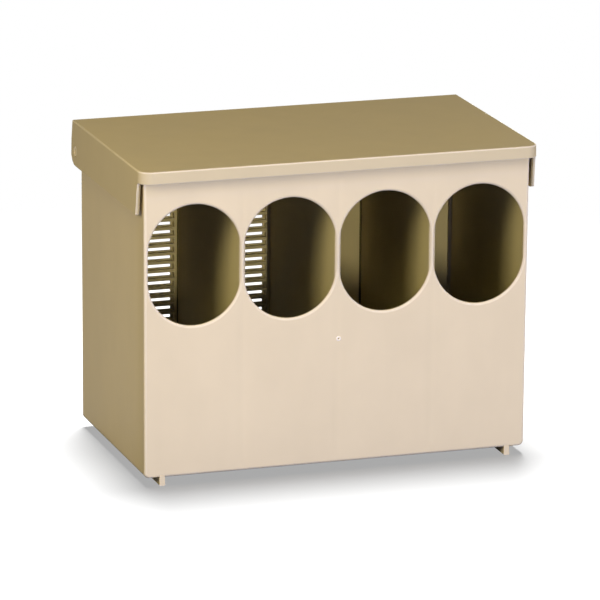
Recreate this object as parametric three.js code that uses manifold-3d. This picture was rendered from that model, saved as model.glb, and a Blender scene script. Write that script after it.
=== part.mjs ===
// Compartment poultry feeder.
// A moulded box with a row of head openings in its front wall, slide-in partitions
// between the compartments, two drop-in rear inserts (a louvred one behind the left half,
// a plain one behind the right half) and a skirted lid that turns on two hinge pins.
// Millimetres, +Z up, +X to the right of someone who stands in front, the front towards -Y.
// The origin is on the ground, below the centre of the closed feeder.

import * as THREE from 'three';
import { mergeVertices, toCreasedNormals } from 'three/addons/utils/BufferGeometryUtils.js';
import Module from 'manifold-3d';

const wasm = await Module();
wasm.setup();

// Box
const boxWidth = 380;
const boxDepth = 209.5;
const boxHeight = 293.6;
const boxSideDraft = 0.7;
const sideWall = 2.4;
const floorWall = 2.4;
const frontWall = 3;
const boxCornerRadius = 5;
const frontEdgeRadius = 2.5;
const rimRearRadius = 8;

// Feet: two ribs along the depth of the floor
const footHeight = 8;
const footWidth = 5.6;
const footInset = 17.2;
const footEdgeRadius = 1;

// Head openings
const mouthCount = 4;
const mouthPitch = 93.85;
const mouthWidth = 89.8;
const mouthHeight = 116;
const mouthTopDrop = 32.6;
const mouthEdgeRadius = 2.6;

// Partitions and the ribs that guide them
const partitionThickness = 2.2;
const partitionCornerRadius = 3;
const partitionDrop = 1.6;
const guideRibThickness = 1.45;
const guideRibDepth = 7;
const floorRibHeight = 3;

// Channel frame at the rear of the box
const flangeWidth = 3.4;
const frontFlangeThickness = 1.7;
const rearFlangeThickness = 2.2;
const mullionWidth = 8.2;
const mullionWeb = 2.4;
const rearFrameDrop = 1.6;

// Rear inserts
const insertPlate = 2.4;
const insertFieldGap = 1.9;
const insertCornerRadius = 2;
const insertGrooveWidth = 9.6;
const louvrePitch = 8.43;
const louvreBlade = 3;
const louvreSillHeight = 69.6;
const louvreTopRail = 16.3;
const louvreEndStile = 0.8;

// Lid
const lidPlate = 3;
const lidSideOverhang = 6.1;
const lidFrontOverhang = 9.8;
const lidRearOverhang = 13.6;
const lidRearLean = 4.4;
const lidRearLeanHeight = 26;
const lidLipHeight = 11.8;
const lidLipWall = 3.2;
const lidRearLipHeight = 20;
const lidSkirtHeight = 43.4;
const lidSkirtWall = 3.8;
const lidSkirtSetback = 1;
const lidSkirtLean = 4.3;
const lidSkirtFlare = 0.7;
const lidFrontCornerRadius = 12;
const lidRearCornerRadius = 2;
const lidTopEdgeRadius = 1.5;
const lidStepRadius = 1.5;
const lidSkirtFrontRadius = 1.5;
const lidSkirtRearRadius = 15;

// Hinge
const pivotInset = 1.5;
const pivotDrop = 25.6;
const hingeEarRadius = 9;
const pinRadius = 2.5;
const pinHeadRadius = 5.3;
const pinHeadThickness = 1.5;
const pinChamfer = 0.5;

// Clearances
const seatGap = 0.3;
const runningGap = 0.35;

// Overrun of a cutting tool past the face that it cuts, and the depth that a rib or flange
// is let into the wall that carries it
const overrun = 5;
const embed = 1;

// Coordinates are rounded to this step, so that faces meant to share a plane really do
const gridStep = 1 / 1024;

// Sizes that follow from the ones above
const boxHalfWidth = boxWidth / 2;
const footingHalfWidth = boxHalfWidth - boxSideDraft;
const cavityHalfWidth = footingHalfWidth - sideWall;
const cavityCornerRadius = boxCornerRadius - sideWall;
const partitionSlot = partitionThickness + 2 * seatGap;
const rearFlangeFront = boxDepth - rearFlangeThickness;
const insertRear = rearFlangeFront - seatGap;
const insertFront = insertRear - insertPlate;
const frontFlangeRear = insertFront - seatGap;
const frameFront = frontFlangeRear - frontFlangeThickness;
const frameTop = boxHeight - rearFrameDrop;
const flangeInnerX = cavityHalfWidth - flangeWidth;
const sillFlangeTop = floorWall + flangeWidth;
const mouthSillHeight = boxHeight - mouthTopDrop - mouthHeight;
const lidUnderside = boxHeight + seatGap;
const lidTop = lidUnderside + lidPlate;
const lidHalfWidth = boxHalfWidth + lidSideOverhang;
const lidInnerHalfWidth = lidHalfWidth - lidSkirtWall;
const lidRear = boxDepth + lidRearOverhang;
const lidDepth = lidFrontOverhang + lidRear;
const pivotDepth = boxDepth - pivotInset;
const pivotHeight = boxHeight - pivotDrop;
const pivotToLidTop = lidTop - pivotHeight;
const skirtFlareAtPivot = lidSkirtFlare * pivotToLidTop / lidSkirtHeight;
const hingeEarFace = lidInnerHalfWidth - seatGap;

// Moulded plastic, coloured in the mass
const sandPlastic = new THREE.MeshStandardMaterial({ color: 0xd9c7a8, roughness: 0.55, metalness: 0 });
const shadedPlastic = new THREE.MeshStandardMaterial({ color: 0xcdbb9b, roughness: 0.6, metalness: 0 });
const pinPlastic = new THREE.MeshStandardMaterial({ color: 0xc8b594, roughness: 0.5, metalness: 0 });

// Solids

function snapToGrid(geometry) {
  const positions = geometry.getAttribute('position').array;
  for (let i = 0; i < positions.length; i += 1) {
    positions[i] = Math.round(positions[i] / gridStep) * gridStep;
  }
  return geometry;
}

function solidFrom(geometry) {
  const plain = geometry.clone();
  plain.deleteAttribute('normal');
  plain.deleteAttribute('uv');
  const welded = mergeVertices(snapToGrid(plain), gridStep / 2);
  return new wasm.Manifold(new wasm.Mesh({
    numProp: 3,
    vertProperties: welded.getAttribute('position').array,
    triVerts: new Uint32Array(welded.index.array),
  }));
}

function geometryFrom(solid) {
  const mesh = solid.getMesh();
  const geometry = new THREE.BufferGeometry();
  geometry.setAttribute('position', new THREE.BufferAttribute(new Float32Array(mesh.vertProperties), 3));
  geometry.setIndex(new THREE.BufferAttribute(new Uint32Array(mesh.triVerts), 1));
  return geometry;
}

function joined(solids) {
  return solids.reduce((whole, solid) => whole.add(solid));
}

function cut(solid, tools) {
  return tools.reduce((rest, tool) => rest.subtract(tool), solid);
}

// Outlines

// A closed outline through corners [across, up, radius], each rounded by a tangent arc.
function roundedOutline(corners) {
  const shape = new THREE.Shape();
  corners.forEach(([x, y, radius], i) => {
    const corner = new THREE.Vector2(x, y);
    const before = corners[(i + corners.length - 1) % corners.length];
    const after = corners[(i + 1) % corners.length];
    const back = new THREE.Vector2(before[0] - x, before[1] - y).normalize();
    const ahead = new THREE.Vector2(after[0] - x, after[1] - y).normalize();
    if (radius === 0) {
      if (i === 0) shape.moveTo(x, y);
      else shape.lineTo(x, y);
      return;
    }
    const halfAngle = Math.acos(back.dot(ahead)) / 2;
    const tangent = radius / Math.tan(halfAngle);
    const start = corner.clone().addScaledVector(back, tangent);
    const end = corner.clone().addScaledVector(ahead, tangent);
    const middle = back.clone().add(ahead).normalize();
    const centre = corner.clone().addScaledVector(middle, radius / Math.sin(halfAngle));
    const startAngle = Math.atan2(start.y - centre.y, start.x - centre.x);
    const endAngle = Math.atan2(end.y - centre.y, end.x - centre.x);
    if (i === 0) shape.moveTo(start.x, start.y);
    else shape.lineTo(start.x, start.y);
    shape.absarc(centre.x, centre.y, radius, startAngle, endAngle, back.cross(ahead) > 0);
  });
  shape.closePath();
  return shape;
}

function rectangle(left, right, bottom, top, radius = 0) {
  return roundedOutline([
    [left, bottom, radius],
    [right, bottom, radius],
    [right, top, radius],
    [left, top, radius],
  ]);
}

// An upright slot with round ends, centred on the origin.
function stadium(width, height) {
  const radius = width / 2;
  const straight = height / 2 - radius;
  const shape = new THREE.Shape();
  shape.absarc(0, straight, radius, 0, Math.PI, false);
  shape.absarc(0, -straight, radius, Math.PI, 2 * Math.PI, false);
  shape.closePath();
  return shape;
}

// Extrusions

const plainExtrusion = { bevelEnabled: false, curveSegments: 4 };

// A rounded edge at both ends of an extrusion, inside the outline that was drawn.
function roundedEnds(radius) {
  return {
    bevelEnabled: true,
    bevelThickness: radius,
    bevelSize: radius,
    bevelOffset: -radius,
    bevelSegments: 4,
    curveSegments: 4,
  };
}

function extruded(shape, length, options) {
  const ends = options.bevelEnabled ? options.bevelThickness : 0;
  const geometry = new THREE.ExtrudeGeometry(shape, { steps: 1, ...options, depth: length - 2 * ends });
  return geometry.translate(0, 0, ends);
}

// The outline is drawn across X and up Z.
function alongY(shape, front, rear, options = plainExtrusion) {
  const geometry = extruded(shape, rear - front, options);
  return solidFrom(geometry.rotateX(Math.PI / 2).translate(0, rear, 0));
}

// The outline is drawn back along Y and up Z.
function alongX(shape, left, right, options = plainExtrusion) {
  const geometry = extruded(shape, right - left, options);
  return solidFrom(geometry.rotateX(Math.PI / 2).rotateZ(Math.PI / 2).translate(left, 0, 0));
}

// The outline is drawn across X and back along Y.
function alongZ(shape, bottom, top, options = plainExtrusion) {
  const geometry = extruded(shape, top - bottom, options);
  return solidFrom(geometry.translate(0, 0, bottom));
}

function block(left, right, front, rear, bottom, top) {
  const geometry = new THREE.BoxGeometry(right - left, rear - front, top - bottom);
  return solidFrom(geometry.translate((left + right) / 2, (front + rear) / 2, (bottom + top) / 2));
}

// A disc or bore on the hinge axis.
function hingeCylinder(radius, left, right) {
  const geometry = new THREE.CylinderGeometry(radius, radius, right - left, 40);
  return solidFrom(geometry.rotateZ(Math.PI / 2).translate((left + right) / 2, pivotDepth, pivotHeight));
}

function mirrored(solid) {
  return solid.mirror([1, 0, 0]);
}

// Places along the row

function mouthCentres() {
  return Array.from({ length: mouthCount }, (_, i) => (i - (mouthCount - 1) / 2) * mouthPitch);
}

function partitionCentres() {
  return Array.from({ length: mouthCount - 1 }, (_, i) => (i - (mouthCount - 2) / 2) * mouthPitch);
}

// Box

function boxOutline() {
  return roundedOutline([
    [-footingHalfWidth, 0, boxCornerRadius],
    [footingHalfWidth, 0, boxCornerRadius],
    [boxHalfWidth, boxHeight, 0],
    [-boxHalfWidth, boxHeight, 0],
  ]);
}

function cavityOutline() {
  return roundedOutline([
    [-cavityHalfWidth, floorWall, cavityCornerRadius],
    [cavityHalfWidth, floorWall, cavityCornerRadius],
    [cavityHalfWidth, boxHeight + overrun, 0],
    [-cavityHalfWidth, boxHeight + overrun, 0],
  ]);
}

// The head opening, with a rounded edge where it meets the front face.
function mouthTool(centre) {
  const shape = stadium(mouthWidth + 2 * mouthEdgeRadius, mouthHeight + 2 * mouthEdgeRadius);
  const flare = {
    bevelEnabled: true,
    bevelThickness: mouthEdgeRadius,
    bevelSize: -mouthEdgeRadius,
    bevelOffset: 0,
    bevelSegments: 4,
    curveSegments: 28,
  };
  const tool = alongY(shape, 0, frontWall + mouthEdgeRadius + embed, flare);
  return tool.translate([centre, 0, mouthSillHeight + mouthHeight / 2]);
}

// The corner behind the rim, rounded so that the lid swings over it.
function rimRearTool() {
  const shape = new THREE.Shape();
  shape.moveTo(boxDepth - rimRearRadius, boxHeight);
  shape.absarc(boxDepth - rimRearRadius, boxHeight - rimRearRadius, rimRearRadius, Math.PI / 2, 0, true);
  shape.lineTo(boxDepth + overrun, boxHeight - rimRearRadius);
  shape.lineTo(boxDepth + overrun, boxHeight + overrun);
  shape.lineTo(boxDepth - rimRearRadius, boxHeight + overrun);
  shape.closePath();
  return alongX(shape, -boxHalfWidth - overrun, boxHalfWidth + overrun);
}

// One layer of the channel frame: both sides, the sill and the middle post, open at the top.
function frameOutline(postWidth) {
  const outer = cavityHalfWidth + embed;
  const bottom = floorWall - embed;
  const corner = cavityCornerRadius + embed;
  return roundedOutline([
    [-outer, bottom, corner],
    [outer, bottom, corner],
    [outer, frameTop, 0],
    [flangeInnerX, frameTop, 0],
    [flangeInnerX, sillFlangeTop, 0],
    [postWidth / 2, sillFlangeTop, 0],
    [postWidth / 2, frameTop, 0],
    [-postWidth / 2, frameTop, 0],
    [-postWidth / 2, sillFlangeTop, 0],
    [-flangeInnerX, sillFlangeTop, 0],
    [-flangeInnerX, frameTop, 0],
    [-outer, frameTop, 0],
  ]);
}

function rearFrame() {
  const web = rectangle(-mullionWeb / 2, mullionWeb / 2, floorWall - embed, frameTop);
  return joined([
    alongY(frameOutline(mullionWidth), frameFront, frontFlangeRear),
    alongY(frameOutline(mullionWidth), rearFlangeFront, boxDepth),
    alongY(web, frontFlangeRear - embed, rearFlangeFront + embed),
  ]);
}

// Two ribs on the front wall and two on the floor hold the edges of one partition.
function partitionGuides(centre) {
  const inner = partitionSlot / 2;
  const outer = inner + guideRibThickness;
  const ribTop = boxHeight - partitionDrop;
  const oneSide = joined([
    block(inner, outer, frontWall - embed, frontWall + guideRibDepth, floorWall - embed, ribTop),
    block(inner, outer, frontWall - embed, frameFront + embed, floorWall - embed, floorWall + floorRibHeight),
  ]);
  return oneSide.add(mirrored(oneSide)).translate([centre, 0, 0]);
}

function foot() {
  const outer = footingHalfWidth - footInset + footWidth / 2;
  const inner = outer - footWidth;
  const shape = roundedOutline([
    [inner, -footHeight, footEdgeRadius],
    [outer, -footHeight, footEdgeRadius],
    [outer, floorWall, 0],
    [inner, floorWall, 0],
  ]);
  return alongY(shape, 0, boxDepth);
}

function hingeEar() {
  return hingeCylinder(hingeEarRadius, cavityHalfWidth, hingeEarFace);
}

function hingeBore(radius) {
  return hingeCylinder(radius, cavityHalfWidth - overrun, lidHalfWidth + overrun);
}

function bodyShell() {
  const outside = alongY(boxOutline(), 0, boxDepth + overrun, roundedEnds(frontEdgeRadius));
  const behind = block(
    -boxHalfWidth - overrun, boxHalfWidth + overrun,
    boxDepth, boxDepth + 2 * overrun,
    -overrun, boxHeight + overrun,
  );
  const cavity = alongY(cavityOutline(), frontWall, boxDepth + overrun);
  const shell = cut(outside, [behind, cavity, rimRearTool(), ...mouthCentres().map(mouthTool)]);
  const ribs = [rearFrame(), ...partitionCentres().map(partitionGuides)];
  const fittings = [foot(), hingeEar()];
  const whole = joined([shell, ...ribs, ...fittings, ...fittings.map(mirrored)]);
  const bore = hingeBore(pinRadius + seatGap);
  return cut(whole, [bore, mirrored(bore)]);
}

// Partitions

function partition() {
  const front = frontWall + seatGap;
  const rear = frameFront - seatGap;
  const bottom = floorWall + seatGap;
  const top = boxHeight - partitionDrop;
  const shape = roundedOutline([
    [front, bottom, 0],
    [rear, bottom, 0],
    [rear, top, partitionCornerRadius],
    [front, top, partitionCornerRadius],
  ]);
  return alongX(shape, -partitionThickness / 2, partitionThickness / 2);
}

// Rear inserts, drawn for the right half of the box

const insertLeft = mullionWeb / 2 + seatGap;
const insertRight = cavityHalfWidth - seatGap;
const insertBottom = floorWall + seatGap;
const insertTop = frameTop;
const fieldLeft = mullionWidth / 2 + insertFieldGap;
const fieldRight = flangeInnerX - insertFieldGap;
const fieldBottom = sillFlangeTop + insertFieldGap;
const fieldTop = insertTop - insertFieldGap;
const louvreCount = Math.floor((fieldTop - louvreTopRail - louvreSillHeight) / louvrePitch);

function insertBorder() {
  const shape = rectangle(insertLeft, insertRight, insertBottom, insertTop, insertCornerRadius);
  return alongY(shape, insertFront, insertRear);
}

// Two trays side by side: their fields stand forward, flush with the frame, and are hollow
// behind. A groove parts them where a partition ends.
function plainInsert() {
  const lastPartition = Math.max(...partitionCentres());
  const fields = [
    [fieldLeft, lastPartition - insertGrooveWidth / 2],
    [lastPartition + insertGrooveWidth / 2, fieldRight],
  ];
  let tray = insertBorder();
  const hollows = [];
  for (const [left, right] of fields) {
    const field = rectangle(left, right, fieldBottom, fieldTop, insertCornerRadius);
    const hollow = rectangle(
      left + insertPlate, right - insertPlate,
      fieldBottom + insertPlate, fieldTop - insertPlate, insertCornerRadius / 2,
    );
    tray = tray.add(alongY(field, frameFront, insertRear));
    hollows.push(alongY(hollow, frameFront + insertPlate, insertRear + overrun));
  }
  return cut(tray, hollows);
}

// A field as deep as the frame, cut through by rows of level slots: what stays are the blades.
function louvredInsert() {
  const fieldEdge = mullionWidth / 2 + seatGap;
  const field = rectangle(fieldEdge, fieldRight, fieldBottom, fieldTop, insertCornerRadius);
  const slotHeight = louvrePitch - louvreBlade;
  const lastPartition = Math.max(...partitionCentres());
  const spans = [
    [fieldEdge + louvreEndStile, lastPartition - mullionWidth / 2],
    [lastPartition + mullionWidth / 2, fieldRight - louvreEndStile],
  ];
  const slots = [];
  for (const [left, right] of spans) {
    for (let row = 0; row < louvreCount; row += 1) {
      const bottom = louvreSillHeight + row * louvrePitch;
      slots.push(block(left, right, frameFront - overrun, boxDepth + overrun, bottom, bottom + slotHeight));
    }
  }
  const panel = insertBorder().add(alongY(field, frameFront, boxDepth));
  return mirrored(cut(panel, slots));
}

// Lid

// The lid seen from the side. An inset of zero gives the outside; the wall gives the inside.
function lidProfile(lip, top) {
  const bottom = lidTop - lidSkirtHeight;
  const outside = lip === 0;
  const leanBottom = lidTop - lidRearLeanHeight;
  const rear = lidRear - lip;
  const rearCorner = outside ? [[rear, bottom, lidSkirtRearRadius]] : [[rear, bottom - overrun, 0]];
  const front = outside
    ? [
      [-lidFrontOverhang, lidTop - lidLipHeight, 0],
      [lidSkirtSetback, lidTop - lidLipHeight, lidStepRadius],
      [lidSkirtSetback + lidSkirtLean, bottom, lidSkirtFrontRadius],
    ]
    : [[-lidFrontOverhang + lip, bottom - overrun, 0]];
  return roundedOutline([
    [-lidFrontOverhang + lip, top, 0],
    ...front,
    ...rearCorner,
    [rear, leanBottom, 0],
    [rear - lidRearLean, top, outside ? lidTopEdgeRadius : 0],
  ]);
}

// The lid seen from above.
function lidPlan(sideWallWidth, lipWidth) {
  const half = lidHalfWidth - sideWallWidth;
  const front = -lidFrontOverhang + lipWidth;
  const rear = lidRear - lipWidth;
  const frontRadius = lidFrontCornerRadius - lipWidth;
  const rearRadius = lipWidth === 0 ? lidRearCornerRadius : 0;
  return roundedOutline([
    [-half, front, frontRadius],
    [half, front, frontRadius],
    [half, rear, rearRadius],
    [-half, rear, rearRadius],
  ]);
}

// Every wall of the moulding spreads a little towards the lower edge of the skirt.
function flared(geometry) {
  const positions = geometry.getAttribute('position');
  for (let i = 0; i < positions.count; i += 1) {
    const depth = lidTop - positions.getZ(i);
    const spread = 1 + (lidSkirtFlare / lidHalfWidth) * (depth / lidSkirtHeight);
    positions.setX(i, positions.getX(i) * spread);
  }
  return geometry;
}

function lid() {
  const lowest = lidTop - lidSkirtHeight - overrun;
  const across = lidHalfWidth + overrun;
  const slab = alongZ(lidPlan(0, 0), lowest, lidTop, roundedEnds(lidTopEdgeRadius));
  const outside = slab.intersect(alongX(lidProfile(0, lidTop), -across, across));
  const room = alongZ(lidPlan(lidSkirtWall, lidLipWall), lowest, lidUnderside);
  const pocket = room.intersect(alongX(lidProfile(lidLipWall, lidTop), -across, across));
  const behind = block(
    -lidInnerHalfWidth, lidInnerHalfWidth,
    boxDepth - overrun, lidRear + overrun,
    lowest, lidTop - lidRearLipHeight,
  );
  const headSeat = hingeCylinder(
    pinHeadRadius + seatGap,
    lidHalfWidth - pinHeadThickness - 2 * seatGap, lidHalfWidth + overrun,
  );
  const bore = hingeBore(pinRadius + runningGap);
  const tools = [pocket, behind, headSeat, mirrored(headSeat), bore, mirrored(bore)];
  return cut(outside, tools);
}

// Hinge pin: a low flush head and a plain shank, turned about its own axis

function hingePinGeometry() {
  const headFace = lidHalfWidth + skirtFlareAtPivot - seatGap;
  const headBack = headFace - pinHeadThickness;
  const tip = cavityHalfWidth + seatGap;
  const profile = [
    [0, tip],
    [pinRadius - pinChamfer, tip],
    [pinRadius, tip + pinChamfer],
    [pinRadius, headBack],
    [pinHeadRadius, headBack],
    [pinHeadRadius, headFace - pinChamfer],
    [pinHeadRadius - pinChamfer, headFace],
    [0, headFace],
  ].map(([radius, along]) => new THREE.Vector2(radius, along - tip));
  return new THREE.LatheGeometry(profile, 32).rotateZ(-Math.PI / 2);
}

// Assembly

const creaseAngle = Math.PI / 6;

function meshOf(name, geometry, material) {
  const mesh = new THREE.Mesh(toCreasedNormals(geometry, creaseAngle), material);
  mesh.name = name;
  return mesh;
}

const box = new THREE.Group();
box.position.set(0, lidFrontOverhang - lidDepth / 2, footHeight);

box.add(meshOf('body_shell', geometryFrom(bodyShell()), sandPlastic));

const partitionNames = ['partition_left', 'partition_middle', 'partition_right'];
partitionCentres().forEach((centre, i) => {
  const plate = meshOf(partitionNames[i], geometryFrom(partition()), shadedPlastic);
  plate.position.x = centre;
  box.add(plate);
});

box.add(meshOf('rear_grille', geometryFrom(louvredInsert()), shadedPlastic));
box.add(meshOf('rear_panel', geometryFrom(plainInsert()), shadedPlastic));
box.add(meshOf('lid', flared(geometryFrom(lid())), sandPlastic));

for (const [name, side] of [['hinge_pin_left', -1], ['hinge_pin_right', 1]]) {
  const pin = meshOf(name, hingePinGeometry(), pinPlastic);
  pin.position.set(side * (cavityHalfWidth + seatGap), pivotDepth, pivotHeight);
  if (side < 0) pin.rotation.z = Math.PI;
  box.add(pin);
}

const feeder = new THREE.Group();
feeder.add(box);

export default feeder;
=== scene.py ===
"""Finish, softened edges and moulding marks of a compartment poultry feeder, and its studio."""

import math

import bmesh
import bpy
from bpy.props import FloatProperty, FloatVectorProperty, IntProperty, PointerProperty
from mathutils import Matrix, Vector


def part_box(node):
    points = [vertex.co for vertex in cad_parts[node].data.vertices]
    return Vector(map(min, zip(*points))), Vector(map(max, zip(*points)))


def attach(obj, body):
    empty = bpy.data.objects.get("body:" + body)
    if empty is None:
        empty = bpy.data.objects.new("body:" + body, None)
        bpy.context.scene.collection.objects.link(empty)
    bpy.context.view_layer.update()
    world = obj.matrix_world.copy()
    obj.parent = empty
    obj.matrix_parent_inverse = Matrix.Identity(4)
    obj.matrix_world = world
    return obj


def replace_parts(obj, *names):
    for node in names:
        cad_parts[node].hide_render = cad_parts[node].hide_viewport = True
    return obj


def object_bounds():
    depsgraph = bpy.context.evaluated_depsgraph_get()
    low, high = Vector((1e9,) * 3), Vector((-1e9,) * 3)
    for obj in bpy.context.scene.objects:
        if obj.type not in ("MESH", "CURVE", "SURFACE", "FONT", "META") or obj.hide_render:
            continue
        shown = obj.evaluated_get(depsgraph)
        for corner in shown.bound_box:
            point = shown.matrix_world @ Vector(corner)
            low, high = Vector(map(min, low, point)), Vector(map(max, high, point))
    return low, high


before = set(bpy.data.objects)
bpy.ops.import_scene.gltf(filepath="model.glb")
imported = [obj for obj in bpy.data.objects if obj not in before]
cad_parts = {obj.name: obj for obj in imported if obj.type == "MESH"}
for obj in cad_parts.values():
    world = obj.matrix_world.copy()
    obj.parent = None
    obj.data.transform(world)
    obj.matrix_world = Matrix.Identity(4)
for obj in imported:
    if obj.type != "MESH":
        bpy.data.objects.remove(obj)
CAD_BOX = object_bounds()

bl_info = {
    "name": "Compartment Poultry Feeder",
    "version": (1, 0, 0),
    "blender": (4, 5, 0),
    "location": "3D View > Sidebar > Feeder",
    "description": "Finishes a moulded feeder with head openings, louvres and a hinged lid",
    "category": "Object",
}

MM = 0.001
WHITE = (1.0, 1.0, 1.0, 1.0)

FRONT_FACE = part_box("body_shell")[0].y
PARTITIONS = ("partition_left", "partition_middle", "partition_right")
PARTITION_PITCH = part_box("partition_right")[0].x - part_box("partition_middle")[0].x
BODY = "feeder_box"
LID = "lid"

# What lies no deeper than this counts as the front wall's face
SKIN = 0.4 * MM

# What counts as one point, a flat area, a turn, an outer corner, a shaded crease and a rounding
ONE_POINT = 0.002 * MM
FLAT = math.radians(0.4)
TURN = math.radians(8.0)
CORNER = math.radians(40.0)
CREASE = math.radians(38.0)
NARROW = 1.6 * MM


# Sizes and colours that a user would change


def length(name, description, millimetres):
    """A property that is a length, with its default in millimetres."""
    return FloatProperty(
        name=name, description=description, default=millimetres * MM,
        min=0.0, precision=5, subtype="DISTANCE", unit="LENGTH",
    )


def share(name, description, default):
    """A property that is a share of one."""
    return FloatProperty(
        name=name, description=description, default=default, min=0.0, max=1.0, subtype="FACTOR",
    )


def colour(name, description, default):
    """A property that is a colour, in linear values."""
    return FloatVectorProperty(
        name=name, description=description, default=default,
        size=3, min=0.0, max=1.0, subtype="COLOR",
    )


class FeederEdges(bpy.types.PropertyGroup):
    """How far the corners that leave the mould sharp are softened."""

    box_edge: length("Box edge", "Rounding of the box's own corners", 0.45)
    lid_edge: length("Lid edge", "Rounding of the lid's own corners", 0.5)
    plate_edge: length("Plate edge", "Rounding of the partitions' corners", 0.4)
    steps: IntProperty(name="Steps", description="Faces across a rounding", default=2, min=2, max=6)


class FeederLouvres(bpy.types.PropertyGroup):
    """The louvred rear insert."""

    pitch: length("Pitch", "From one blade to the next", 8.43)
    blade: length("Blade", "Height of a blade", 3.0)
    rows: IntProperty(name="Rows", description="Slots above each other", default=24, min=1, max=40)
    first_slot: length("First slot", "Height of the lowest slot's sill above the ground", 77.6)
    ledge: length("Ledge", "Height of the low edge at the rear of a slot's sill", 1.2)
    end_ledge: length("End ledge", "Width of the low edge at the rear of a slot's right end", 2.2)
    post: length("Post", "Width of the post between the two columns of slots", 10.4)
    end_stile: length("End stile", "Width of the strip at the outer end of the slots", 0.8)
    border: length("Border", "Width of the thin border at the side and the bottom", 5.0)
    inner_border: length("Inner border", "Width of the thin border next to the middle post", 2.9)
    top_border: length("Top border", "Width of the thin border at the top", 1.9)
    step_front: length("Front step", "How far the field stands out in front of the border", 2.0)
    step_rear: length("Rear step", "How far the field stands out behind the border", 2.5)
    blade_edge: length("Blade edge", "Rounding of the blades' corners", 0.38)


class FeederMarks(bpy.types.PropertyGroup):
    """Marks that the mould leaves on the front wall, with a painted highlight and painted shade on the
    gate mark, and painted shade under the lid's lip and inside the openings.
    """

    gate_diameter: length("Gate diameter", "Ring around the point of injection", 5.0)
    gate_across: length("Gate across", "The gate's place to the right of the middle", 0.9)
    gate_height: length("Gate height", "The gate's place above the ground", 129.4)
    gate_pit: length("Gate pit", "Width of the pit in the middle of the ring", 1.7)
    gate_rise: length("Gate rise", "How far the ring stands out of the wall", 0.7)
    # The ring's paler tone is a painted highlight, and the pit's dark colour is painted shade.
    ring_highlight_tone: colour("Ring tone", "What the sand colour tends to on the ring", (1.0, 0.90, 0.80))
    ring_highlight_share: share("Ring paling", "How near to that tone the ring is", 0.45)
    pit_shade_tone: colour("Pit tone", "Colour of the pit", (0.38, 0.31, 0.16))
    # Painted shade: the next three give a dark line on the inner side of each opening's rim.
    collar_shade: colour(
        "Collar", "What the sand colour is multiplied by in the soiled line inside an opening",
        (0.42, 0.39, 0.28),
    )
    collar_depth: length("Collar depth", "From the front wall's face to that line", 2.8)
    collar_width: length("Collar width", "Width of that line", 1.7)
    # Painted shade: the next three make the front wall darker and warmer in a band under the lid's lip.
    lip_shade: colour(
        "Unfaded", "What the sand colour is multiplied by right under the lid's lip",
        (0.97, 0.93, 0.78),
    )
    lip_shade_low: length("Fade low", "Height above the ground where that colour begins", 278.0)
    lip_shade_reach: length("Fade reach", "From there to where it is full", 11.0)
    sink_width: length("Sink width", "Width of the soft line in front of a partition", 6.8)
    sink_depth: length("Sink depth", "Depth of the soft line in front of a partition", 0.26)
    flow_ring: length("Flow ring", "Size of the faint rings round the gate", 4.5)
    flow_reach: length("Flow reach", "How far from the gate the rings fade", 34.0)
    flow_depth: length("Flow depth", "Depth of the rings", 0.004)


class FeederPlastic(bpy.types.PropertyGroup):
    """The moulded plastic, coloured in the mass, with painted shade in the compartments and paler edges
    that are partly a painted highlight.
    """

    sand: colour("Sand", "Colour of the box and the hinge pins", (0.723, 0.610, 0.465))
    lid: colour("Lid", "Colour of the lid", (0.615, 0.517, 0.372))
    # The inner colour is the sand made darker, which paints the compartments' shade into them.
    inner: colour("Inner", "Colour of what lies in the compartments", (0.640, 0.570, 0.400))
    # Painted shade: the next two darken the inserts in a strip beside each partition.
    crevice: length("Crevice", "From a partition's middle to where the dust beside it ends", 2.2)
    crevice_shade: colour("Dust", "What the inner colour is multiplied by in that dust", (0.16, 0.15, 0.12))
    cloud: length("Cloud", "Size of the soft clouds in the colour", 70.0)
    streak: length("Streak", "Width of the soft upright streaks in the colour", 26.0)
    mottle: share("Mottle", "Strength of the soft clouds in the colour", 0.05)
    # The next four make rounded edges paler: partly wear, partly a painted highlight where light catches
    # them.
    edge_wear_and_highlight: share("Burnish", "How far the handled edges are rubbed", 0.75)
    wear_and_highlight_patch: length("Rub", "Size of the patches in which they are rubbed", 5.0)
    rubbed_and_lit: colour("Rubbed", "The colour that rubbing tends to", (1.0, 0.91, 0.92))
    paling: share("Paling", "How near to that colour rubbing can get", 0.55)
    roughness: share("Roughness", "Roughness of the satin faces", 0.52)
    gloss: share("Gloss", "Strength of the sheen outside", 0.03)
    inner_gloss: share("Inner gloss", "Strength of the sheen in the compartments", 0.01)
    grain: length("Grain", "Size of the eroded mould texture", 0.4)
    grain_depth: length("Grain depth", "Depth of the eroded mould texture", 0.012)
    wave: length("Wave", "Size of the slow waves in a moulded wall", 42.0)
    wave_depth: length("Wave depth", "Depth of the slow waves in a moulded wall", 0.05)


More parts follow.
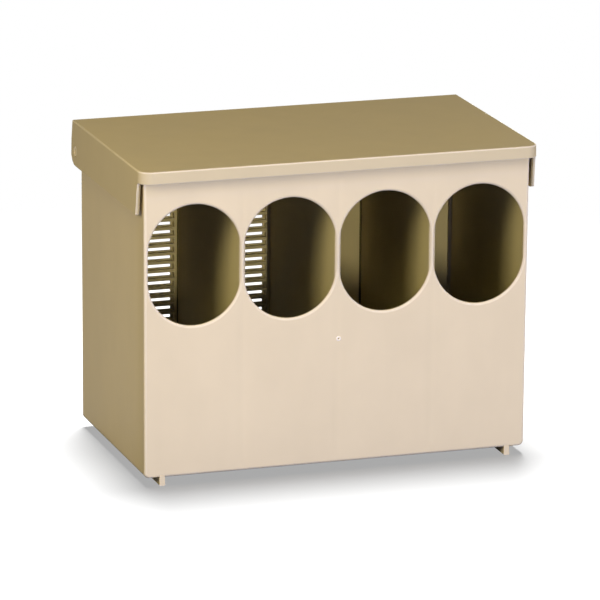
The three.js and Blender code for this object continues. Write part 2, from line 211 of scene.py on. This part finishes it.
class FeederStudio(bpy.types.PropertyGroup):
    """Camera and floor."""

    camera_place: FloatVectorProperty(
        name="Camera place", description="Where the camera stands",
        default=(-1.49428, -4.46368, 1.40798), size=3, precision=5,
        subtype="TRANSLATION", unit="LENGTH",
    )
    camera_azimuth: FloatProperty(
        name="Azimuth", description="How far the camera looks to the right of straight ahead",
        default=math.radians(18.4863), subtype="ANGLE", unit="ROTATION",
    )
    camera_elevation: FloatProperty(
        name="Elevation", description="How far the camera looks down",
        default=math.radians(15.0833), subtype="ANGLE", unit="ROTATION",
    )
    camera_roll: FloatProperty(
        name="Roll", description="How far the camera leans to its left",
        default=math.radians(0.46691), subtype="ANGLE", unit="ROTATION",
    )
    lens: FloatProperty(
        name="Lens", description="Focal length for a 36 mm wide frame",
        default=304.929, subtype="DISTANCE_CAMERA", unit="CAMERA",
    )
    floor_radius: length("Floor radius", "Size of the floor disc", 9000.0)
    floor: colour("Floor", "Colour of the light that the floor gives back", (0.027, 0.027, 0.027))
    floor_seen: colour("Floor seen", "Colour of the floor where it is seen", (0.155, 0.155, 0.155))
    floor_glow: share("Floor glow", "What is left of the white in the deepest shadow", 0.40)
    shadow_reach: length("Shadow reach", "How far from the feeder the floor shows its shadow", 450.0)
    shadow_fade: length("Shadow fade", "From there to where the floor is plain white", 500.0)
    ambient: colour("Ambient", "Dim light from all round", (0.012, 0.011, 0.008))


# Each lamp's name, degrees to the right of the front, degrees up, distance, width and height in
# metres, then the light that it gives to a surface that faces it, where 1 shows a colour as it is
# written, and what it lights. "outside" keeps it out of the compartments. "inserts" and "floor"
# are all that such a lamp reaches.
LAMPS = (
    ("front_window", -1.0, 10.0, 2.6, 1.75, 0.87, (0.52, 0.59, 0.89), "outside"),
    ("high_window", -20.0, 50.0, 3.6, 1.8, 1.8, (0.35, 0.29, 0.09), "outside"),
    ("left_window", -58.0, 24.0, 1.6, 0.6, 0.6, (0.39, 0.335, 0.165), "all"),
    ("right_window", 50.0, 14.0, 3.2, 1.2, 1.2, (0.22, 0.18, 0.06), "outside"),
    ("rear_window", 140.0, 2.5, 3.4, 1.8, 0.4, (0.60, 0.54, 0.42), "outside"),
    ("insert_lamp", -12.0, 5.2, 3.4, 0.4, 0.6, (0.30, 0.26, 0.14), "inserts"),
    ("floor_lamp", 167.0, 79.8, 3.0, 0.95, 1.3, (8.40, 8.40, 8.40), "floor"),
)


# Surfaces


class Field:
    """What a socket gives over a surface. Arithmetic on it adds nodes."""

    def __init__(self, surface, socket):
        self.surface = surface
        self.socket = socket

    @property
    def is_wide(self):
        """True for a colour or a vector."""
        return self.socket.type in {"RGBA", "VECTOR"}

    def _with(self, operation, first, second=None):
        wide = any(isinstance(x, Field) and x.is_wide for x in (first, second))
        kind = "ShaderNodeVectorMath" if wide else "ShaderNodeMath"
        sockets = {0: first} if second is None else {0: first, 1: second}
        if wide:
            sockets = {i: x if isinstance(x, (Field, tuple)) else (x, x, x) for i, x in sockets.items()}
        return self.surface.add(kind, {"operation": operation}, sockets)

    def __add__(self, other):
        return self._with("ADD", self, other)

    __radd__ = __add__

    def __sub__(self, other):
        return self._with("SUBTRACT", self, other)

    def __rsub__(self, other):
        return self._with("SUBTRACT", other, self)

    def __mul__(self, other):
        return self._with("MULTIPLY", self, other)

    __rmul__ = __mul__

    def __truediv__(self, other):
        return self._with("DIVIDE", self, other)

    def __rtruediv__(self, other):
        return self._with("DIVIDE", other, self)

    def __pow__(self, other):
        return self._with("POWER", self, other)

    def __rpow__(self, other):
        return self._with("POWER", other, self)

    def __neg__(self):
        return self * -1.0

    def __abs__(self):
        return self._with("ABSOLUTE", self)

    def __lt__(self, other):
        return self._with("LESS_THAN", self, other)

    def __gt__(self, other):
        return self._with("GREATER_THAN", self, other)

    def exponential(self):
        """e to the power of the field."""
        return self._with("EXPONENT", self)

    def nearest(self, step):
        """How far the field is from its nearest multiple of the step."""
        return abs(self - self._with("SNAP", self + step / 2, step))

    def bell(self, width):
        """1 where the field is 0, and falling away over the width."""
        return (-((self / width) ** 2.0)).exponential()

    def clamped(self):
        """The field, held between 0 and 1."""
        return self.surface.add("ShaderNodeClamp", {}, {"Value": self})


class Surface:
    """A node tree, and the one way in which nodes are added to it."""

    def __init__(self, owner):
        owner.use_nodes = True
        self.owner = owner
        self.tree = owner.node_tree
        self.tree.nodes.clear()

    @staticmethod
    def _socket(sockets, key):
        if isinstance(key, int):
            return sockets[key]
        return next(s for s in sockets if s.enabled and key in (s.name, s.identifier))

    def add(self, kind, settings, sockets, out=0):
        """Adds a node of that kind: its settings first, then its sockets' values or links."""
        node = self.tree.nodes.new(kind)
        for name, value in settings.items():
            setattr(node, name, value)
        for key, value in sockets.items():
            socket = self._socket(node.inputs, key)
            if isinstance(value, Field):
                self.tree.links.new(value.socket, socket)
            else:
                socket.default_value = value
        if not node.outputs:
            return None
        if out == 0:
            return Field(self, next(s for s in node.outputs if s.enabled))
        return Field(self, self._socket(node.outputs, out))

    def noise(self, place, size, detail=2.0, roughness=0.5, stretch=(1.0, 1.0, 1.0)):
        """Soft noise from 0 to 1 with features of that size in metres."""
        if stretch != (1.0, 1.0, 1.0):
            place = place * stretch
        return self.add(
            "ShaderNodeTexNoise", {"noise_dimensions": "3D", "normalize": True},
            {"Vector": place, "Scale": 1.0 / size, "Detail": detail, "Roughness": roughness}, "Fac",
        )

    def mixed(self, factor, first, second):
        """A colour between two colours."""
        return self.add(
            "ShaderNodeMix", {"data_type": "RGBA", "clamp_factor": True},
            {"Factor": factor, "A": first, "B": second}, "Result",
        )

    def close(self, shader):
        """Links the finished shader to the output."""
        is_world = isinstance(self.owner, bpy.types.World)
        self.add(
            "ShaderNodeOutputWorld" if is_world else "ShaderNodeOutputMaterial", {}, {"Surface": shader},
        )
        return self.owner


def scaled(rgb, factor):
    """A colour with its brightness scaled, with its alpha."""
    return tuple(min(1.0, c * factor) for c in rgb) + (1.0,)


def separated(surface, place):
    """The three parts of a place."""
    return [surface.add("ShaderNodeSeparateXYZ", {}, {"Vector": place}, axis) for axis in "XYZ"]


def lip_shade_band(surface, place, marks):
    """1 on the box's front wall right under the lid's lip, and 0 lower down: a band of painted shade."""
    _, depth, height = separated(surface, place)
    on_front = depth < FRONT_FACE + SKIN
    return ((height - marks.lip_shade_low) / marks.lip_shade_reach).clamped() * on_front


def collar_shade_line(surface, place, marks):
    """1 along a thin line on the inner side of each opening's rim, where painted shade darkens it."""
    across, depth, _ = separated(surface, place)
    line = (depth - (FRONT_FACE + marks.collar_depth)).bell(marks.collar_width / 2)
    side_wall = 2.0 * PARTITION_PITCH - 2.0 * MM
    return line * (abs(across) < side_wall)


def front_wall_marks(surface, place, marks):
    """Height in millimetres of the mould's marks on the front wall: sink lines and rings of flow."""
    across, depth, height = separated(surface, place)
    on_front = depth < FRONT_FACE + SKIN
    between_ends = abs(across) < 1.6 * PARTITION_PITCH
    line = across.nearest(PARTITION_PITCH).bell(marks.sink_width / 2)
    sink = line * on_front * between_ends * (-marks.sink_depth / MM)
    from_gate = ((across - marks.gate_across) ** 2.0 + (height - marks.gate_height) ** 2.0) ** 0.5
    rings = surface.add("ShaderNodeMath", {"operation": "SINE"}, {0: from_gate / marks.flow_ring})
    flow = rings * from_gate.bell(marks.flow_reach) * on_front * (marks.flow_depth / MM)
    return sink + flow


def moulded_plastic(name, rgb, gloss, marks=None, has_crevice_shade=False):
    """Satin moulded plastic with soft clouds of colour, paler edges that are partly wear and partly a
    painted highlight, slow waves and a fine eroded grain. With marks it has the front wall's own, with
    painted shade under the lid's lip and inside the openings, and the crevice shade paints shade beside
    the partitions."""
    plastic = bpy.context.scene.feeder_plastic
    surface = Surface(bpy.data.materials.new(name))
    place = surface.add("ShaderNodeTexCoord", {}, {}, "Object")
    clouds = surface.noise(place, plastic.cloud, 3.0, 0.55)
    streaks = surface.noise(place, plastic.streak, 2.0, 0.5, (1.0, 1.0, 0.35))
    grain = surface.noise(place, plastic.grain, 3.0, 0.6)
    waves = surface.noise(place, plastic.wave, 1.0, 0.4)
    rubbed_and_lit = surface.noise(place, plastic.wear_and_highlight_patch, 4.0, 0.65)
    edge_wear_and_highlight = surface.add("ShaderNodeAttribute", {"attribute_name": "edge_wear_and_highlight"}, {}, "Fac")

    tone = (0.65 * clouds + 0.35 * streaks - 0.5) * 1.6 + 0.5
    body = surface.mixed(
        tone.clamped(), scaled(rgb, 1.0 - plastic.mottle), scaled(rgb, 1.0 + plastic.mottle),
    )
    speckled = surface.mixed((grain - 0.5) * 0.16 + 0.04, body, scaled(rgb, 0.86))
    # Rounded edges grow paler: partly wear, partly a painted highlight.
    wear_and_highlight_here = edge_wear_and_highlight * (0.55 + 0.9 * rubbed_and_lit) * plastic.edge_wear_and_highlight
    wear_and_highlight_tone = (*Vector(rgb).lerp(Vector(plastic.rubbed_and_lit), plastic.paling), 1.0)
    base = surface.mixed(wear_and_highlight_here.clamped(), speckled, wear_and_highlight_tone)
    if marks is not None:
        # Painted shade under the lid's lip.
        base = surface.mixed(lip_shade_band(surface, place, marks), base, base * tuple(marks.lip_shade))
        # Painted shade on the inner side of each opening's rim.
        base = surface.mixed(collar_shade_line(surface, place, marks), base, base * tuple(marks.collar_shade))
    if has_crevice_shade:
        # Painted shade on the inserts beside each partition.
        beside = separated(surface, place)[0].nearest(PARTITION_PITCH) < plastic.crevice
        base = surface.mixed(beside, base, base * tuple(plastic.crevice_shade))

    rough = plastic.roughness + 0.10 * (clouds - 0.5) + 0.08 * (grain - 0.5) - 0.10 * wear_and_highlight_here
    relief = (grain - 0.5) * (plastic.grain_depth / MM) + (waves - 0.5) * (plastic.wave_depth / MM)
    if marks is not None:
        relief = relief + front_wall_marks(surface, place, marks)
    normal = surface.add(
        "ShaderNodeBump", {}, {"Strength": 1.0, "Distance": MM, "Height": relief}, "Normal",
    )
    shader = surface.add(
        "ShaderNodeBsdfPrincipled", {},
        {
            "Base Color": base, "Roughness": rough, "Normal": normal,
            "IOR": 1.49, "Specular IOR Level": gloss,
        }, "BSDF",
    )
    return surface.close(shader)


def seen_directly(surface):
    """1 for what is looked at, also in a reflection or through something clear, and 0 otherwise."""
    rays = ("Is Camera Ray", "Is Glossy Ray", "Is Transmission Ray")
    return sum(surface.add("ShaderNodeLightPath", {}, {}, ray) for ray in rays).clamped()


def studio_floor(studio):
    """A pale floor. Seen directly it is white, and darker where the object keeps light from it."""
    surface = Surface(bpy.data.materials.new("studio_floor"))
    place = surface.add("ShaderNodeTexCoord", {}, {}, "Object")
    away = surface.add("ShaderNodeVectorMath", {"operation": "LENGTH"}, {0: place}, "Value")
    far = ((away - studio.shadow_reach) / studio.shadow_fade).clamped()
    plain = surface.add("ShaderNodeBsdfDiffuse", {}, {"Color": (*studio.floor, 1.0)})
    bright = surface.add("ShaderNodeBsdfDiffuse", {}, {"Color": (*studio.floor_seen, 1.0)})
    shade = surface.add("ShaderNodeEmission", {}, {"Color": WHITE, "Strength": studio.floor_glow})
    white = surface.add("ShaderNodeEmission", {}, {"Color": WHITE, "Strength": 1.0})
    near = surface.add("ShaderNodeAddShader", {}, {0: bright, 1: shade})
    looked_at = surface.add("ShaderNodeMixShader", {}, {0: far, 1: near, 2: white})
    return surface.close(
        surface.add("ShaderNodeMixShader", {}, {0: seen_directly(surface), 1: plain, 2: looked_at})
    )


def studio_world(studio):
    """White where it is seen directly, and a dim warm light otherwise."""
    surface = Surface(bpy.data.worlds.new("studio_world"))
    dim = surface.add("ShaderNodeBackground", {}, {"Color": (*studio.ambient, 1.0), "Strength": 1.0})
    white = surface.add("ShaderNodeBackground", {}, {"Color": WHITE, "Strength": 1.0})
    return surface.close(
        surface.add("ShaderNodeMixShader", {}, {0: seen_directly(surface), 1: dim, 2: white})
    )


# Meshes


def node_mesh(node):
    """A node's own mesh, with split points joined and each flat area made of few faces."""
    bm = bmesh.new()
    bm.from_mesh(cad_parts[node].data)
    bmesh.ops.remove_doubles(bm, verts=bm.verts, dist=ONE_POINT)
    bmesh.ops.dissolve_limit(
        bm, angle_limit=FLAT, use_dissolve_boundaries=False,
        verts=bm.verts, edges=bm.edges, delimit=set(),
    )
    return bm


def sharp_edges(bm, shortest):
    """Edges where two faces meet at an outer corner."""
    return [
        e for e in bm.edges
        if e.is_manifold and e.is_convex
        and e.calc_face_angle() > CORNER and e.calc_length() > shortest
    ]


def face_width(face):
    """About how wide a long face is."""
    return face.calc_area() / max(e.calc_length() for e in face.edges)


def mark_edge_wear_and_highlight(bm, widest, lit_from_above=False):
    """Marks the points that lie inside a rounding, to be made paler as wear and as a painted highlight.
    The last argument leaves out the roundings that face down, so the highlight falls where light from
    above does."""
    layer = bm.verts.layers.float.new("edge_wear_and_highlight")
    narrow = {f: face_width(f) < widest for f in bm.faces}
    for vert in bm.verts:
        turning = any(
            e.is_manifold and e.is_convex and e.calc_face_angle() > TURN
            for e in vert.link_edges
        )
        wear_and_highlight_here = turning and all(narrow[f] for f in vert.link_faces)
        # Roundings that face up get more of the painted highlight, as light falls from above.
        faces_light_above = min(1.0, max(0.0, 0.4 + vert.normal.z)) if lit_from_above else 1.0
        vert[layer] = faces_light_above if wear_and_highlight_here else 0.0


def piece_from(bm, name, body, materials):
    """Makes an object of the mesh that rides on a body and takes its finish from a slot."""
    mesh = bpy.data.meshes.new(name)
    bmesh.ops.recalc_face_normals(bm, faces=bm.faces)
    for face in bm.faces:
        face.smooth = True
    bm.to_mesh(mesh)
    bm.free()
    mesh.set_sharp_from_angle(angle=CREASE)
    for material in materials:
        mesh.materials.append(material)
    piece = bpy.data.objects.new(name, mesh)
    bpy.context.scene.collection.objects.link(piece)
    weighted = piece.modifiers.new("weighted_normals", "WEIGHTED_NORMAL")
    weighted.keep_sharp = True
    weighted.weight = 80
    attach(piece, body)
    return piece


def softened(node, name, body, material, radius, steps):
    """A piece that stands for a node, with its sharp outer corners rounded."""
    bm = rounded(node_mesh(node), radius, steps)
    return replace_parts(piece_from(bm, name, body, [material]), node)


def finish_inside(bm, low, high):
    """Gives the second finish to the faces that lie between two corners."""
    for face in bm.faces:
        middle = face.calc_center_median()
        if all(low[i] <= middle[i] <= high[i] for i in range(3)):
            face.material_index = 1


def relief_plate(across, up, levels, cell_levels):
    """A closed upright plate made cell by cell. The cells lie between the places across and up. Each
    is solid from one depth level to another, as cell_levels says, or open where it says None."""
    bm = bmesh.new()
    points = {}

    def point(i, j, k):
        if (i, j, k) not in points:
            points[i, j, k] = bm.verts.new((across[i], levels[j], up[k]))
        return points[i, j, k]

    def solid(i, k):
        inside = 0 <= i < len(across) - 1 and 0 <= k < len(up) - 1
        span = cell_levels(i, k) if inside else None
        return set(range(*span)) if span else set()

    def face(corner, first, second):
        shared = [(0, 0, 0), first, tuple(a + b for a, b in zip(first, second)), second]
        bm.faces.new([point(*(c + d for c, d in zip(corner, step))) for step in shared])

    for i in range(len(across)):
        for k in range(len(up)):
            here = solid(i, k)
            for j in here ^ solid(i - 1, k):
                face((i, j, k), (0, 1, 0), (0, 0, 1))
            for j in here ^ solid(i, k - 1):
                face((i, j, k), (1, 0, 0), (0, 1, 0))
            for j in here ^ {j + 1 for j in here}:
                face((i, j, k), (1, 0, 0), (0, 0, 1))
    return bm


def rounded(bm, radius, steps, wear_and_highlight_new_corners=True):
    """Rounds the sharp outer corners of a mesh. The last argument makes these new roundings paler too,
    as wear and a painted highlight, or else only the roundings that the mesh already has, where they
    face up."""
    bmesh.ops.recalc_face_normals(bm, faces=bm.faces)
    bm.normal_update()
    if not wear_and_highlight_new_corners:
        mark_edge_wear_and_highlight(bm, NARROW, lit_from_above=True)
    bmesh.ops.bevel(
        bm, geom=sharp_edges(bm, 2.2 * radius), offset=radius, offset_type="OFFSET",
        segments=steps, profile=0.5, affect="EDGES", clamp_overlap=False, loop_slide=True,
    )
    if wear_and_highlight_new_corners:
        mark_edge_wear_and_highlight(bm, NARROW)
    return bm


def turned(profile, steps, placing):
    """A closed body turned from (radius, height) pairs, then placed."""
    bm = bmesh.new()
    verts = [bm.verts.new((radius, 0.0, height)) for radius, height in profile]
    edges = [bm.edges.new(pair) for pair in zip(verts, verts[1:])]
    bmesh.ops.spin(
        bm, geom=verts + edges, cent=(0.0, 0.0, 0.0), axis=(0.0, 0.0, 1.0),
        angle=2.0 * math.pi, steps=steps, use_merge=True, use_duplicate=False,
    )
    bmesh.ops.remove_doubles(bm, verts=bm.verts, dist=ONE_POINT)
    bm.transform(placing)
    return bm


# Operators


class FeederOperator(bpy.types.Operator):
    """What the feeder's operators share."""

    bl_options = {"REGISTER", "UNDO"}

    @staticmethod
    def outside(name, rgb, marks=None):
        """The finish of that name and colour for what shows from outside."""
        return moulded_plastic(name, tuple(rgb), bpy.context.scene.feeder_plastic.gloss, marks)

    @staticmethod
    def inside(name, has_crevice_shade=False):
        """The finish of that name for what lies in the compartments, in the inner colour that paints
        their shade. Crevice shade adds a painted dark strip beside the partitions.
        """
        plastic = bpy.context.scene.feeder_plastic
        return moulded_plastic(name, tuple(plastic.inner), plastic.inner_gloss, has_crevice_shade=has_crevice_shade)


class FEEDER_OT_box(FeederOperator):
    """Builds the box: front wall with its openings, side walls, floor, feet and rear frame."""

    bl_idname = "feeder.box"
    bl_label = "Box"

    def execute(self, context):
        scene = context.scene
        outer = self.outside("moulded_box", scene.feeder_plastic.sand, scene.feeder_marks)
        # The box's inside takes the darker inner colour, which paints its shade.
        inner = self.inside("moulded_inside")
        edges = scene.feeder_edges
        bm = rounded(node_mesh("body_shell"), edges.box_edge, edges.steps, wear_and_highlight_new_corners=False)
        panel_low, panel_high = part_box("rear_panel")
        past = 1.0 * MM
        reach = panel_high.x + past
        low = (-reach, FRONT_FACE + 2.9 * MM, panel_low.z - past)
        high = (reach, panel_high.y + past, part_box("body_shell")[1].z - past)
        finish_inside(bm, low, high)
        box = piece_from(bm, "box", BODY, [outer, inner])
        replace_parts(box, "body_shell")
        return {"FINISHED"}


class FEEDER_OT_gate_mark(FeederOperator):
    """Builds the small ring where the plastic entered the mould of the box, with a painted highlight on
    the ring and painted shade in its pit.
    """

    bl_idname = "feeder.gate_mark"
    bl_label = "Gate mark"

    def execute(self, context):
        marks = context.scene.feeder_marks
        radius = marks.gate_diameter / 2
        rise = marks.gate_rise
        buried = -0.6 * MM
        profile = [
            (0.0, 0.05 * rise), (0.24 * radius, 0.06 * rise), (0.31 * radius, 0.30 * rise),
            (0.38 * radius, 0.75 * rise), (0.48 * radius, 0.96 * rise), (0.60 * radius, rise),
            (0.74 * radius, 0.94 * rise), (0.86 * radius, 0.76 * rise), (0.95 * radius, 0.45 * rise),
            (radius, 0.10 * rise), (radius, buried), (0.0, buried),
        ]
        place = Vector((marks.gate_across, FRONT_FACE, marks.gate_height))
        placing = Matrix.Translation(place) @ Matrix.Rotation(math.pi / 2, 4, "X")
        bm = turned(profile, 40, placing)
        mark_edge_wear_and_highlight(bm, 0.7 * MM)
        for face in bm.faces:
            from_gate = face.calc_center_median() - place
            if math.hypot(from_gate.x, from_gate.z) < marks.gate_pit / 2:
                face.material_index = 1
        # The ring's paler tone is a painted highlight and the pit's dark tone painted shade.
        sand = Vector(context.scene.feeder_plastic.sand)
        tone = sand.lerp(Vector(marks.ring_highlight_tone), marks.ring_highlight_share)
        ring = self.outside("gate_ring_painted_highlight", tone)
        pit = self.outside("gate_pit_painted_shade", marks.pit_shade_tone)
        piece_from(bm, "gate_mark", BODY, [ring, pit])
        return {"FINISHED"}


class FEEDER_OT_partitions(FeederOperator):
    """Builds the three partitions between the compartments."""

    bl_idname = "feeder.partitions"
    bl_label = "Partitions"

    def execute(self, context):
        edges = context.scene.feeder_edges
        # The partitions take the darker inner colour, which paints their shade.
        finish = self.inside("moulded_partition")
        for node in PARTITIONS:
            softened(
                node, f"{node}_plate", BODY, finish,
                edges.plate_edge, edges.steps,
            )
        return {"FINISHED"}


class FEEDER_OT_rear_inserts(FeederOperator):
    """Builds the louvred insert behind the left half and the plain one behind the right half."""

    bl_idname = "feeder.rear_inserts"
    bl_label = "Rear inserts"

    def louvres(self, scene):
        """A plate whose field stands out on both sides, cut through by two columns of slots."""
        low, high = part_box("rear_grille")
        size = scene.feeder_louvres
        inner, outer = high.x - size.inner_border, low.x + size.border
        middle = -PARTITION_PITCH
        post_left, post_right = middle - size.post / 2, middle + size.post / 2
        across = [
            low.x, outer, outer + size.end_stile, post_left - size.end_ledge, post_left,
            post_right, inner - size.end_stile - size.end_ledge, inner - size.end_stile, inner, high.x,
        ]
        slots = [size.first_slot + row * size.pitch for row in range(size.rows)]
        slot = size.pitch - size.blade
        edges = [bottom + rise for bottom in slots for rise in (0.0, size.ledge, slot)]
        up = [low.z, low.z + size.border, *edges, high.z - size.top_border, high.z]
        levels = [low.y, low.y + size.step_front, high.y - size.step_rear, high.y]
        columns, ends = (2, 5), (3, 6)

        def cell_levels(i, k):
            if i in (0, len(across) - 2) or k in (0, len(up) - 2):
                return 1, 2
            row, part = divmod(k - 2, 3)
            if i not in columns + ends or not 0 <= row < size.rows or part == 2:
                return 0, 3
            return (2, 3) if i in ends or part == 0 else None

        return rounded(relief_plate(across, up, levels, cell_levels), size.blade_edge, 3)

    def execute(self, context):
        edges = context.scene.feeder_edges
        # The inserts take the darker inner colour and a dark strip beside each partition, both painted
        # shade.
        finish = self.inside("moulded_insert", has_crevice_shade=True)
        louvred = piece_from(
            self.louvres(context.scene), "louvred_insert", BODY, [finish],
        )
        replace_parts(louvred, "rear_grille")
        softened(
            "rear_panel", "plain_insert", BODY, finish,
            edges.plate_edge, edges.steps,
        )
        return {"FINISHED"}


class FEEDER_OT_lid(FeederOperator):
    """Builds the skirted lid."""

    bl_idname = "feeder.lid"
    bl_label = "Lid"

    def execute(self, context):
        edges = context.scene.feeder_edges
        finish = self.outside("moulded_lid", context.scene.feeder_plastic.lid)
        softened("lid", "hinged_lid", LID, finish, edges.lid_edge, edges.steps)
        return {"FINISHED"}


class FEEDER_OT_hinge_pins(FeederOperator):
    """Builds the two push-in hinge pins with their low heads."""

    bl_idname = "feeder.hinge_pins"
    bl_label = "Hinge pins"

    def execute(self, context):
        finish = self.outside("moulded_pin", context.scene.feeder_plastic.sand)
        for node, side in (("hinge_pin_left", -1.0), ("hinge_pin_right", 1.0)):
            low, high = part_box(node)
            axis = (low + high) / 2
            head = (high.z - low.z) / 2
            reach = high.x - low.x
            shank = 2.5 * MM
            thick = 1.5 * MM
            profile = [
                (0.0, reach - 0.35 * MM), (0.45 * head, reach - 0.32 * MM),
                (0.58 * head, reach - 0.08 * MM), (0.66 * head, reach), (0.86 * head, reach),
                (0.95 * head, reach - 0.15 * MM), (head, reach - 0.5 * MM),
                (head, reach - thick), (shank, reach - thick), (shank, 0.5 * MM),
                (shank - 0.15 * MM, 0.15 * MM), (shank - 0.5 * MM, 0.0), (0.0, 0.0),
            ]
            foot = Vector((low.x if side > 0 else high.x, axis.y, axis.z))
            placing = Matrix.Translation(foot) @ Matrix.Rotation(side * math.pi / 2, 4, "Y")
            bm = turned(profile, 56, placing)
            mark_edge_wear_and_highlight(bm, 0.6 * MM)
            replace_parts(piece_from(bm, f"{node}_turned", BODY, [finish]), node)
        return {"FINISHED"}


class FEEDER_OT_studio(FeederOperator):
    """Sets up the camera, the floor, the lamps and the world."""

    bl_idname = "feeder.studio"
    bl_label = "Studio"

    def add_camera(self, scene, studio):
        """Looks along the azimuth and down by the elevation, with a slight lean."""
        across, down = studio.camera_azimuth, studio.camera_elevation
        ahead = Vector((
            math.sin(across) * math.cos(down), math.cos(across) * math.cos(down), -math.sin(down),
        ))
        level = Vector((math.cos(across), -math.sin(across), 0.0))
        upright = level.cross(ahead)
        lean = studio.camera_roll
        right = math.cos(lean) * level + math.sin(lean) * upright
        up = math.cos(lean) * upright - math.sin(lean) * level
        turn = Matrix((right, up, -ahead)).transposed().to_4x4()
        data = bpy.data.cameras.new("studio_camera")
        data.sensor_fit = "HORIZONTAL"
        data.sensor_width = 36.0
        data.lens = studio.lens
        data.clip_start = 0.1
        data.clip_end = 60.0
        camera = bpy.data.objects.new("studio_camera", data)
        camera.matrix_world = Matrix.Translation(Vector(studio.camera_place)) @ turn
        scene.collection.objects.link(camera)
        scene.camera = camera

    def add_floor(self, scene, studio):
        """A round floor under the feeder."""
        bm = bmesh.new()
        bmesh.ops.create_circle(bm, cap_ends=True, segments=96, radius=studio.floor_radius)
        mesh = bpy.data.meshes.new("studio_floor")
        bm.to_mesh(mesh)
        bm.free()
        mesh.materials.append(studio_floor(studio))
        floor = bpy.data.objects.new("studio_floor", mesh)
        scene.collection.objects.link(floor)

    def add_flag(self, scene):
        """Black cloths behind the front wall, before the rear inserts and in the gaps between the
        lid's skirts and the box. They stop lamps and are never seen."""
        panel_low, panel_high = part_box("rear_panel")
        low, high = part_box("body_shell")
        reach, side, skirt = panel_high.x, high.x - 1.8 * MM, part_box("lid")[1].x - 2.6 * MM
        behind_wall, before_inserts = FRONT_FACE + 5.6 * MM, panel_low.y - 0.5 * MM
        in_gap = FRONT_FACE + 1.0 * MM
        bm = bmesh.new()
        for left, right, depth in (
            (-reach, reach, behind_wall), (-reach, reach, before_inserts),
            (-skirt, -side, in_gap), (side, skirt, in_gap),
        ):
            ring = [(left, low.z), (right, low.z), (right, high.z), (left, high.z)]
            bm.faces.new([bm.verts.new((across, depth, up)) for across, up in ring])
        mesh = bpy.data.meshes.new("studio_flag")
        bm.to_mesh(mesh)
        bm.free()
        flag = bpy.data.objects.new("studio_flag", mesh)
        for ray in ("camera", "diffuse", "glossy", "transmission", "volume_scatter"):
            setattr(flag, f"visible_{ray}", False)
        scene.collection.objects.link(flag)

    def add_lamp(self, scene, name, azimuth, elevation, distance, width, height, light, lights):
        """A soft box that faces the feeder."""
        turn, rise = math.radians(azimuth), math.radians(elevation)
        away = Vector((
            math.sin(turn) * math.cos(rise), -math.cos(turn) * math.cos(rise), math.sin(rise),
        ))
        data = bpy.data.lights.new(name, "AREA")
        data.shape = "RECTANGLE"
        data.size = width
        data.size_y = height
        strongest = max(light)
        data.color = [value / strongest for value in light]
        data.energy = strongest * (math.pi * distance) ** 2
        lamp = bpy.data.objects.new(name, data)
        middle = (CAD_BOX[0] + CAD_BOX[1]) / 2
        lamp.location = middle + away * distance
        lamp.rotation_mode = "QUATERNION"
        lamp.rotation_quaternion = away.to_track_quat("Z", "Y")
        scene.collection.objects.link(lamp)
        if lights == "inserts":
            reached = self.linked(f"{name}_reaches", ("louvred_insert", "plain_insert"), "INCLUDE")
        else:
            state = "INCLUDE" if lights == "floor" else "EXCLUDE"
            reached = self.linked(f"{name}_reaches", ("studio_floor",), state)
        lamp.light_linking.receiver_collection = reached
        if lights != "outside":
            passed = self.linked(f"{name}_passes", ("studio_flag",), "EXCLUDE")
            lamp.light_linking.blocker_collection = passed

    @staticmethod
    def linked(name, things, state):
        """A collection that a lamp reads: the things in it are included or excluded."""
        collection = bpy.data.collections.new(name)
        for thing in things:
            collection.objects.link(bpy.data.objects[thing])
        for member in collection.collection_objects:
            member.light_linking.link_state = state
        return collection

    def execute(self, context):
        scene = context.scene
        studio = scene.feeder_studio
        self.add_camera(scene, studio)
        self.add_floor(scene, studio)
        self.add_flag(scene)
        for lamp in LAMPS:
            self.add_lamp(scene, *lamp)
        scene.world = studio_world(studio)
        scene.view_settings.view_transform = "Standard"
        return {"FINISHED"}


OPERATORS = (
    FEEDER_OT_box, FEEDER_OT_gate_mark, FEEDER_OT_partitions, FEEDER_OT_rear_inserts,
    FEEDER_OT_lid, FEEDER_OT_hinge_pins, FEEDER_OT_studio,
)
SETTINGS = {
    "feeder_edges": FeederEdges, "feeder_louvres": FeederLouvres, "feeder_marks": FeederMarks,
    "feeder_plastic": FeederPlastic, "feeder_studio": FeederStudio,
}


class FEEDER_PT_panel(bpy.types.Panel):
    """Lists the feeder's settings and the operators that build it."""

    bl_idname = "FEEDER_PT_panel"
    bl_label = "Poultry feeder"
    bl_space_type = "VIEW_3D"
    bl_region_type = "UI"
    bl_category = "Feeder"

    def draw(self, context):
        for name, group in SETTINGS.items():
            settings = self.layout.box().column()
            for key in group.__annotations__:
                settings.prop(getattr(context.scene, name), key)
        for operator in OPERATORS:
            self.layout.operator(operator.bl_idname)


CLASSES = (*SETTINGS.values(), *OPERATORS, FEEDER_PT_panel)


def register():
    for cls in CLASSES:
        bpy.utils.register_class(cls)
    for name, group in SETTINGS.items():
        setattr(bpy.types.Scene, name, PointerProperty(type=group))


def unregister():
    for name in SETTINGS:
        delattr(bpy.types.Scene, name)
    for cls in reversed(CLASSES):
        bpy.utils.unregister_class(cls)


def main():
    register()
    bpy.ops.feeder.box()
    bpy.ops.feeder.gate_mark()
    bpy.ops.feeder.partitions()
    bpy.ops.feeder.rear_inserts()
    bpy.ops.feeder.lid()
    bpy.ops.feeder.hinge_pins()
    bpy.ops.feeder.studio()


if __name__ == "__main__":
    main()
